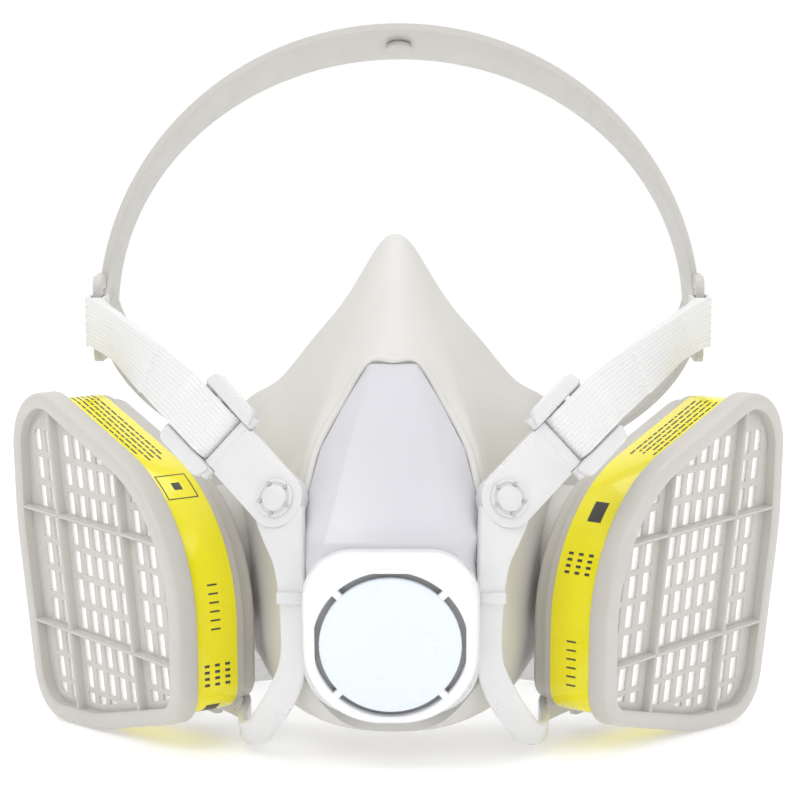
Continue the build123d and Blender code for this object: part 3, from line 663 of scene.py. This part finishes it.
def turned_in(row, inward, back):
    """The back edge moved towards the middle of the opening, for the seal flange."""
    out = []
    for x, y, z in row:
        d = unit(np.array([0 - x, OPENING_Z - z])) * inward
        out.append((x + d[0] if x else 0.0, y + back, z + d[1]))
    return out


face_rows = FACE_ROWS + [turned_in(FACE_ROWS[5], 2.6, 1.8), turned_in(FACE_ROWS[5], 7.0, 0.4),
                         turned_in(FACE_ROWS[5], 11.5, -3.0)]
grid = []
for row in face_rows:
    half = np.array(row, float)
    grid.append(catmull(np.concatenate([half, (half * [-1, 1, 1])[1:-1][::-1]]), 6, closed=True))
surface = catmull(np.array(grid), 5)
points, faces = rings(list(surface), caps=(False, False))
face = add("face_shell", mask(points), faces, elastomer, "elastomer", None, ["facepiece"], 50)
solid = face.modifiers.new("wall", "SOLIDIFY")
solid.thickness, solid.offset, solid.use_even_offset = WALL, -1, False
bake(face)
for side_name, side in SIDES:
    def barrel(profile, s=side):
        p, f = rings(turned(profile, 56, PORT))
        return mask(flip(cartridge(p), s)), f

    boss_profile = [(16.4, -27.2), (17.2, -27.5), (17.5, -28.2), (17.5, -37.5)]
    boss = add("boss", *barrel(boss_profile), elastomer, None, None)
    boolean(face, boss, "UNION")
    bore = add("bore", *barrel([(14, -20), (14, -52)]), elastomer, None, None)
    boolean(face, bore)
shade(face, 50)
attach(face, "mask")

# bright bead round the window
edge = catmull(np.array([FACE_ROWS[0][i] for i in range(8)], float), 6)
outer_edge = catmull(np.array([FACE_ROWS[1][i] for i in range(8)], float), 6)
edge = np.concatenate([(edge * [-1, 1, 1])[1:][::-1], edge])
outer_edge = np.concatenate([(outer_edge * [-1, 1, 1])[1:][::-1], outer_edge])
bead_loops = []
for i, q in enumerate(edge):
    t = unit(edge[min(i + 1, len(edge) - 1)] - edge[max(i - 1, 0)])
    out = outer_edge[i] - q
    out = unit(out - t * out.dot(t))
    n = unit(np.cross(out, t))
    c = q + out * 0.55
    bead_loops.append(np.array([c + out * 1.1 * math.cos(a) + n * 0.75 * math.sin(a)
                                for a in np.linspace(0, 2 * math.pi, 12, endpoint=False)]))
points, faces = rings(bead_loops)
add("window_bead", mask(points), faces, elastomer, "elastomer", "mask", sharp=60)

# ------------------------------------------------------------------ window and valve cup
# levels down the window: z, half width and Y of the front facet's edge, half width and Y of the outer edge
WINDOW_LEVELS = [(98.6, 5.4, -15.6, 6.3, -14.4), (88.5, 8.2, -23.7, 12.3, -17.6),
                 (79, 10.8, -31.3, 17.6, -23.2), (69.5, 13.3, -38.9, 20.2, -29.4),
                 (60, 15.8, -46.4, 22.6, -34.2), (50, 18.4, -46.6, 22.6, -34.2)]


def window_ring(level, back):
    z, fx, fy, sx, sy = level
    fy, sy = fy + back, sy + back * 0.4
    half = [(fx * (1 - 0.07 * min(back, 1)), fy), (sx, sy)]
    outer = [(-half[1][0], half[1][1], z), (-half[0][0], half[0][1], z)]
    outer += [(half[0][0], half[0][1], z), (half[1][0], half[1][1], z)]
    inner = [(x * (1 - 1.6 / max(abs(x), 6)), y + 1.8, z) for x, y, z in outer[::-1]]
    return np.array(outer + inner)


points, faces = rings([window_ring(level, 0) for level in WINDOW_LEVELS])
pane = add("window", mask(points), faces, window_mat, "clear_window", None, ["faceplate"], 20)
bevel(pane, 0.5, 3, 12, 30)
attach(pane, "mask")
CUP_CORNERS = [(-19.7, -20.3, 11.7), (19.7, -20.3, 11.7), (19.7, 20.0, 11.7), (-19.7, 20.0, 11.7)]
cup_outline = densify(rounded_loop(CUP_CORNERS, 1.2), 1.0)
cup_profile = [(2, -2.4), (2, -10), (0.3, -10), (0, -9.7), (0, -8.6), (-2.4, -8.6), (-2.4, -7.0), (0, -7.0),
               (0, 0)]
loops = [loop_at(cup_outline, d, w) for d, w in cup_profile]
cup_angles = np.arctan2(loops[0][:, 1], loops[0][:, 0])
for r, w in ((15.2, 0), (15.2, -2.4)):
    loops.append(np.column_stack([r * np.cos(cup_angles), r * np.sin(cup_angles), np.full(len(cup_angles), w)]))
points, faces = rings(loops + [loops[0]], caps=(False, False))
add("valve_cup", mask(valve(points)), faces, milky, "milky_plastic", "mask", sharp=35)
GATE_Y, GATE_Z = -47.2, 56.6
gate = [q[:, [0, 2, 1]] * [1, -1, 1] + [0, GATE_Y, GATE_Z]
        for q in turned([(0.7, -0.6), (0.7, 0.2), (0.35, 0.45)], 20)]
points, faces = rings(gate)
add("gate_mark", mask(points), faces, white, "milky_plastic", "mask", sharp=50)

# ------------------------------------------------------------------ valve cover
COVER_CORNERS = [(-20.7, -21.1, 18.4), (20.7, -21.1, 18.4), (20.7, 20.8, 11.5), (-20.7, 20.8, 11.5)]
cover_outline = densify(rounded_loop(COVER_CORNERS, 1.2), 1.0)
loops = [loop_at(cover_outline, d, w) for d, w in
         [(1.5, 0.1), (0.15, 0.05), (0, 0.2), (0, 4.0), (0.15, 5.6), (0.6, 6.9), (1.3, 7.9), (2.2, 8.5),
          (3.0, 8.85)]]
base = loops[-1]
angles = np.arctan2(base[:, 1], base[:, 0])


def circle_at(r, w):
    return np.column_stack([r * np.cos(angles), r * np.sin(angles), np.full(len(angles), w)])


for r, w in ((18.9, 9.05), (18.45, 9.0), (18.2, 8.75), (18.1, 7.0)):
    loops.append(circle_at(r, w))
loops += [circle_at(18.3, 6.6), loop_at(cover_outline, 1.6, 6.2), loop_at(cover_outline, 1.5, 0.1)]
points, faces = rings(loops, caps=(False, False))
add("valve_hood", mask(valve(points)), faces, white, "white_plastic", "mask", ["valve_cover"], 50)
disc_profile = [(2, 7.6), (15.8, 7.6), (16.6, 7.9), (16.7, 8.9), (16.55, 9.3), (16.1, 9.55), (14, 9.75),
                (9, 9.95), (2, 10.0)]
points, faces = rings(turned(disc_profile, 96))
add("valve_disc", mask(valve(points)), faces, disc_mat, "white_plastic", "mask", sharp=40)
# painted shade: a dark grey ring behind the disc stands for the shade inside the gap between the disc and the
# hood
gap = turned([(19.0, 6.4), (19.0, 6.0), (15.0, 6.0), (15.0, 6.4)], 96)
points, faces = rings(gap + [gap[0]], caps=(False, False))
add("valve_gap_shade_ring", mask(valve(points)), faces, shade_grey, "white_plastic", "mask", sharp=40)
spokes = []
for k in range(4):
    a = math.radians(45 + 90 * k)
    d, n = np.array([math.cos(a), math.sin(a)]), np.array([-math.sin(a), math.cos(a)])
    section = [(-0.9, 7.6), (-0.9, 8.7), (-0.6, 8.95), (0.6, 8.95), (0.9, 8.7), (0.9, 7.6)]
    spokes.append(rings([np.array([[*(d * r + n * x), w] for x, w in section]) for r in (16.0, 18.9)]))
points, faces = merged(spokes)
add("valve_spokes", mask(valve(points)), faces, white, "white_plastic", "mask", sharp=35)

# ------------------------------------------------------------------ yoke, arms, buckles
frame_profile = [(0.02, 0), (0.02, -4), (-1.2, -4), (-1.2, -0.4), (-0.9, 0)]
loops = [loop_at(cup_outline, d, w) for d, w in frame_profile]
order = [i for i in range(len(cup_outline[0])) if cup_outline[0][i][1] < 12]
start = next(k for k, i in enumerate(order) if (i - 1) % len(cup_outline[0]) not in order)
order = order[start:] + order[:start]
points, faces = rings([q[order] for q in loops] + [loops[0][order]], close=False, caps=(False, False))
add("yoke_frame", mask(valve(points)), faces, milky, "milky_plastic", "mask", ["harness_yoke"], sharp=35)
LEG = [((20.9, -35.2, 67.0), (33.0, -28.2, 66.5)), ((20.7, -37.6, 62.5), (32.2, -30.6, 62)),
       ((20.5, -39.4, 58), (30.0, -35.2, 57.6)), ((20.3, -40.7, 53), (27.8, -38.2, 53)),
       ((20.1, -41.0, 45), (26.6, -39.6, 45)), ((20.0, -41.0, 36), (26.2, -40.0, 36)),
       ((20.3, -40.2, 28.5), (26.7, -39.4, 30)), ((22.0, -38.0, 22), (28.6, -37.6, 25)),
       ((25.2, -34.0, 15.4), (31.4, -34.2, 19.2)), ((28.4, -30.2, 10.6), (34.0, -30.4, 14.6)),
       ((30.2, -27.6, 7.4), (35.2, -28.0, 12.6)), ((34.0, -24.6, 6.0), (37.0, -25.2, 11.8)),
       ((36.4, -20.0, 5.6), (37.2, -20.6, 11.8)), ((37.2, -14, 5.4), (37.6, -14, 11.8)),
       ((37.2, -7, 5.2), (37.4, -7, 12.0)), ((38.2, -1.4, 5.6), (38.2, -1.4, 13.0)),
       ((45.5, 9.3, 6), (45.5, 9.3, 16))]
LEG_NORMAL = [(0.55, -0.8, 0.1)] * 2 + [(0.35, -0.93, 0.05), (0.2, -0.97, 0.05)] + [(0.1, -1, 0.1)] * 6
LEG_NORMAL += [(0.25, -0.95, 0.2), (0.7, -0.65, 0.2), (1, -0.1, 0.05), (1, 0, 0), (0.95, -0.3, 0),
               (0.85, -0.5, 0), (0.79, -0.61, 0)]
LEG_T = 2.3
PAD_PROFILE = [(6.4, -3.2), (6.9, -2.9), (6.9, -1.4), (6.6, -1.12)]
STUD_PROFILE = [(4.6, -4.0), (4.6, -3.3), (3.0, -3.2), (3.0, 1.02), (4.7, 1.04), (4.75, 1.3), (4.6, 1.62),
                (4.3, 1.68), (4.05, 1.5), (3.9, 1.14), (3.35, 1.14), (3.2, 1.6), (3.05, 1.85), (2.7, 1.96),
                (0.6, 1.96)]
for side_name, side in SIDES:
    low = catmull(np.array([q[0] for q in LEG], float), 4)
    high = catmull(np.array([q[1] for q in LEG], float), 4)
    normals = catmull(np.array(LEG_NORMAL, float), 4)
    loops = []
    for a, b, n in zip(low, high, normals):
        across = unit(b - a)
        n = unit(n - across * n.dot(across))
        ring, _ = strap_section((a + b) / 2, across, n, np.linalg.norm(b - a), LEG_T, 0.8, 4)
        loops.append(np.array(ring))
    points, faces = rings(loops)
    add(f"yoke_leg_{side_name}", mask(flip(points, side)), faces, milky, "milky_plastic", "mask", sharp=45)
    points, faces = rings(turned(PAD_PROFILE, 48))
    add(f"yoke_pad_{side_name}", mask(flip(arm(points), side)), faces, milky, "milky_plastic", "mask", sharp=35)
    bridge = [[(x, y, z) for x, z in ((20.0, 44.6), (27.2, 44.6), (27.2, 47.4), (20.0, 47.4))]
              for y in (-39.0, -42.6)]
    points, faces = rings([np.array(r, float) for r in bridge])
    o = add(f"yoke_bridge_{side_name}", mask(flip(points, side)), faces, milky, "milky_plastic", None, sharp=30)
    bevel(o, 0.5, 2)
    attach(o, "mask")
for side_name, side in SIDES:
    points, faces = rings(turned(STUD_PROFILE, 60))
    add(f"stud_{side_name}", mask(flip(arm(points), side)), faces, milky, "milky_plastic", "mask",
        [f"pivot_stud_{side_name}"], sharp=40)
    # painted shade: five dark grey bars across the groove in the stud's top
    marks = []
    for k in range(5):
        a = math.radians(20 + 72 * k)
        d, n = np.array([math.cos(a), math.sin(a)]), np.array([-math.sin(a), math.cos(a)])
        section = ((3.5, -0.4), (4.5, -0.4), (4.5, 0.4), (3.5, 0.4))
        marks.append(rings([np.array([[*(d * r + n * x), w] for r, x in section]) for w in (1.1, 1.72)]))
    points, faces = merged(marks)
    add(f"stud_shade_bars_{side_name}", mask(flip(arm(points), side)), faces, shade_grey, "milky_plastic", "mask",
        sharp=30)
    for node, name, body in (("strap_arm", "arm", "arm"), ("buckle", "ladder", "buckle")):
        cad_copy(f"{node}_{side_name}", f"{name}_{side_name}", milky,
                 f"{body}_{side_name}", 0.35, 3)
    wing_outline = rounded_loop([(18.0, 7.0, 0.7), (35.4, 7.0, 0.7), (34.4, 10.9, 1.9), (19.4, 10.9, 1.9)], 0.6)
    wings = []
    for turn in (1, -1):
        ring = [loop_at(wing_outline, d, w) * [1, turn, 1]
                for d, w in ((0.4, 0.6), (0, 0.9), (0, 2.6), (0.35, 3.0))]
        wings.append(rings(ring))
    points, faces = merged(wings)
    add(f"ladder_wings_{side_name}", mask(flip(arm(points), side)), faces, milky, "milky_plastic",
        f"buckle_{side_name}", sharp=35)
    cad_copy(f"lower_buckle_{side_name}", f"neck_ladder_{side_name}", milky, "mask", 0.3)
cad_copy("neck_clasp", "clasp", milky, "neck_right", 0.4, 3)
cad_copy("neck_hook", "hook", milky, "neck_left", 0.4, 3)
cad_copy("head_cradle", "cradle_band", cradle_grey, "cradle", 0.4, 3, 40)
cad_copy("crown_button", "crown_stud", cradle_grey, "cradle", 0.3)

# ------------------------------------------------------------------ head straps
ALONG = unit(EAR_BAR - BUCKLE_EXIT)
SPAN = np.linalg.norm(EAR_BAR - BUCKLE_EXIT)


def strap_frame(distance, thickness=None):
    share = min(1.0, distance / (0.7 * SPAN))
    side_way = ARM_ACROSS * (1 - share) + np.array([0, 0, 1.0]) * share
    side_way = unit(side_way - ALONG * side_way.dot(ALONG))
    out = [BUCKLE_EXIT + ALONG * distance, side_way, np.cross(ALONG, side_way)]
    return out + [thickness] if thickness else out


def through(path_points, ups, per=4):
    """Smooth stations through centres with a hint of the width direction at each."""
    c = catmull(np.array(path_points, float), per)
    u = catmull(np.array(ups, float), per)
    out = []
    for i in range(len(c)):
        t = unit(c[min(i + 1, len(c) - 1)] - c[max(i - 1, 0)])
        a = unit(u[i] - t * u[i].dot(t))
        out.append([c[i], a, np.cross(t, a)])
    return out


for side_name, side in SIDES:
    in_buckle = arm([(30.5, 0, -2.2), (28, 0, -2.55), (25, 0, -2.6), (23.0, 0, -1.7), (22.35, 0, -0.2),
                     (22.9, 0, 1.4), (25, 0, 2.4), (29, 0, 2.75), (33.0, 0, 3.15)])
    joined = list(in_buckle) + [strap_frame(1.0)[0], strap_frame(4.0)[0]]
    ups = [ARM_ACROSS] * len(in_buckle) + [strap_frame(1.0)[1], strap_frame(4.0)[1]]
    first = through(joined, ups)
    pieces = [("dive", first, f"buckle_{side_name}", None, [f"buckle_strap_{side_name}"])]
    pieces.append(("lead", [strap_frame(q) for q in np.linspace(4, 12, 9)],
                   f"buckle_{side_name}", f"arm_{side_name}", []))
    pieces.append(("joint", [strap_frame(q) for q in np.linspace(12, 17, 6)], f"arm_{side_name}", "mask", []))
    pieces.append(("swing", [strap_frame(q) for q in np.linspace(17, 25, 9)], "mask", "side_straps", []))
    doubled = [strap_frame(25.0, 1.3), strap_frame(25.6, 1.3), strap_frame(25.9, 2.5)]
    doubled += [strap_frame(q, 2.6) for q in np.linspace(27, 46, 12)]
    pieces.append(("side", doubled, "side_straps", None, [f"side_strap_{side_name}"]))
    pieces.append(("tilt", [strap_frame(q, 2.6) for q in np.linspace(46, 58, 12)], "side_straps", "cradle", []))
    s = 0.0
    for label, stations, a, b, cad in pieces:
        points, faces, uvs, s = sweep(stations, STRAP_W, STRAP_T, s)
        o = add(f"strap_{label}_{side_name}", mask(flip(points, side)), faces, elastic, "white_elastic",
                None if b else a, cad, 50, uvs)
        if b:
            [tuple(mask(flip([stations[i][0]], side))[0]) for i in (0, -1)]
            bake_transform(o)
    # the end: a neck that flares into a loop round the ear's bar
    end = strap_frame(58.0, 2.6)
    loop_mid = np.array([80.9, 46.5, 102.0])
    stations = [end, [end[0] * 0.5 + loop_mid * 0.5, np.array([0, 0, 1.0]), np.array([1.0, 0, 0]), 2.8],
                [loop_mid, np.array([0, 0, 1.0]), np.array([1.0, 0, 0]), 4.6]]
    points, faces, uvs, _ = sweep(stations, STRAP_W, STRAP_T, s)
    add(f"strap_ear_{side_name}", mask(flip(points, side)), faces, elastic, "white_elastic", "cradle",
        [f"ear_loop_{side_name}"], 50, uvs)
    ring = [(82.9, 46.0), (83.0, 50), (83.0, 54), (82.6, 55.6), (80.9, 56.2), (79.2, 55.6), (78.7, 54),
            (78.7, 50), (78.8, 46.0)]
    path = catmull(np.array([(x, y, 102.0) for x, y in ring]), 4)
    up = np.array([0, 0, 1.0])
    stations = []
    for i in range(len(path)):
        t = unit(path[min(i + 1, len(path) - 1)] - path[max(i - 1, 0)])
        stations.append([path[i], up, np.cross(t, up)])
    points, faces, uvs, _ = sweep(stations, STRAP_W, 1.25, s)
    add(f"strap_loop_{side_name}", mask(flip(points, side)), faces, elastic, "white_elastic", "cradle", [], 50,
        uvs)

# ------------------------------------------------------------------ neck strap
NECK_A, NECK_B, NECK_Y = 57.0, 54.0, 46.0


def neck_frame(angle):
    a = math.radians(angle)
    centre = np.array([NECK_A * math.cos(a), NECK_Y + NECK_B * math.sin(a), 0.1 + STRAP_W / 2])
    return [centre, np.array([0, 0, 1.0]), unit(np.array([NECK_B * math.cos(a), NECK_A * math.sin(a), 0]))]


for side_name, side in SIDES:
    stations = [neck_frame(q) for q in np.linspace(-15.5, 78.1, 48)]
    points, faces, uvs, _ = sweep(stations, STRAP_W, STRAP_T)
    body = f"neck_{side_name}"
    add(f"neck_elastic_{side_name}", table(flip(points, side)), faces, elastic, "white_elastic", body,
        [f"neck_strap_{side_name}"], 50, uvs)

# ------------------------------------------------------------------ finishes of the CAD nodes that stay
KEPT = {"exhalation_valve_seat": (white, "white_plastic"), "exhalation_valve_flap": (silicone, "silicone")}
for side_name, _ in SIDES:
    # the scrims take the filter media, whose faint emission is painted light
    KEPT[f"front_scrim_{side_name}"] = (media, "filter_media")
    KEPT[f"rear_scrim_{side_name}"] = (media, "filter_media")
    KEPT[f"sorbent_bed_{side_name}"] = (sorbent, "sorbent")
    KEPT[f"port_gasket_{side_name}"] = (elastomer, "elastomer")
    KEPT[f"inhalation_seat_{side_name}"] = (white, "white_plastic")
    KEPT[f"inhalation_flap_{side_name}"] = (silicone, "silicone")
    KEPT[f"lower_loop_{side_name}"] = (elastic, "white_elastic")
for node, (material, slot_name) in KEPT.items():
    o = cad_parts[node]
    o.data.materials.clear()
    o.data.materials.append(material.mat)

# ------------------------------------------------------------------ stage
bpy.ops.mesh.primitive_plane_add(size=14, location=(0, 0, -0.0002))
floor = bpy.context.object
floor.name = "floor"
floor_mat = Material("floor", (0.84, 0.84, 0.845), 0.5, Emission_Strength=0.32)
floor_mat.shader.inputs["Emission Color"].default_value = (1, 1, 1, 1)
floor.data.materials.append(floor_mat.mat)

# a white room that is dimmer on the camera's side, so that the front is shaped by the soft lights
world = bpy.data.worlds.new("studio")
bpy.context.scene.world = world
world.use_nodes = True
background = world.node_tree.nodes["Background"]
direction = world.node_tree.nodes.new("ShaderNodeTexCoord")
parts = world.node_tree.nodes.new("ShaderNodeSeparateXYZ")
level = world.node_tree.nodes.new("ShaderNodeMapRange")
for key, v in (("From Min", -0.1), ("From Max", 0.75), ("To Min", 0.74), ("To Max", 1.0)):
    level.inputs[key].default_value = v
world.node_tree.links.new(direction.outputs["Generated"], parts.inputs[0])
world.node_tree.links.new(parts.outputs[1], level.inputs["Value"])
world.node_tree.links.new(level.outputs["Result"], background.inputs[1])
background.inputs[0].default_value = (1, 1, 1, 1)
bpy.context.scene.view_settings.view_transform = "Standard"


def area_light(name, at, to, size, watts):
    data = bpy.data.lights.new(name, "AREA")
    data.shape, data.size, data.energy = "SQUARE", size, watts
    o = bpy.data.objects.new(name, data)
    bpy.context.scene.collection.objects.link(o)
    o.location = at
    o.rotation_mode = "QUATERNION"
    o.rotation_quaternion = (Vector(to) - Vector(at)).to_track_quat("-Z", "Y")


area_light("key", (-0.35, -0.55, 0.75), (0, 0, 0.08), 0.5, 1.9)
area_light("fill", (0.6, -0.5, 0.5), (0, 0, 0.08), 0.6, 0.9)
area_light("top", (0, 0.1, 0.9), (0, 0, 0.05), 0.6, 1.5)

camera = bpy.data.cameras.new("camera")
camera.lens, camera.sensor_width = 117.0, 36.0
cam = bpy.data.objects.new("camera", camera)
bpy.context.scene.collection.objects.link(cam)
eye, aim = mask([(13, -643.7, 178)])[0], mask([(1.4, 0, 87.5)])[0]
cam.location = eye
cam.rotation_mode = "QUATERNION"
cam.rotation_quaternion = Vector(aim - eye).to_track_quat("-Z", "Y")
camera.clip_start, camera.clip_end = 0.05, 20
bpy.context.scene.camera = cam
